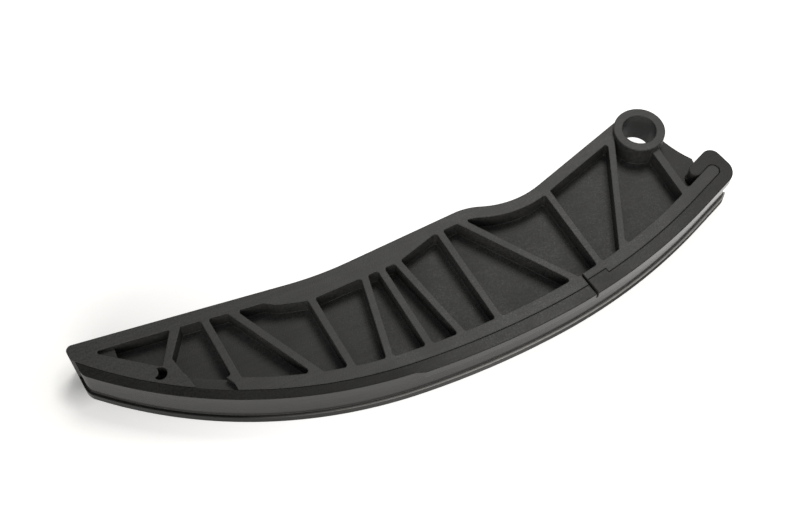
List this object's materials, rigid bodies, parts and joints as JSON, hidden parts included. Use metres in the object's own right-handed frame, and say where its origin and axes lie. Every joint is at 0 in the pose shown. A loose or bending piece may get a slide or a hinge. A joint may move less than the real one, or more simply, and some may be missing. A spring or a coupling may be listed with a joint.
{
  "type": "timing chain guide",
  "caption": "Curved pivoting timing chain guide: a ribbed plastic carrier with a pivot boss and a clip-on flanged sliding shoe along its chain side",
  "frame": {"origin": "on the axis of the pivot bore, at the mid-width of the guide, which is the plane of the chain", "axes": "+Z along the pivot bore towards the side where the boss stands out, +X from the toe to the pivot, -Y towards the chain"},
  "size_m": [0.2365, 0.0651, 0.018],
  "materials": {
    "carrier_plastic": "black glass-filled nylon with a fine moulded grain",
    "shoe_plastic": "black low-friction nylon, smoother than the carrier"
  },
  "bodies": {
    "root": {"carrier": "carrier_plastic", "sliding_shoe": "shoe_plastic"}
  },
  "joints": []
}
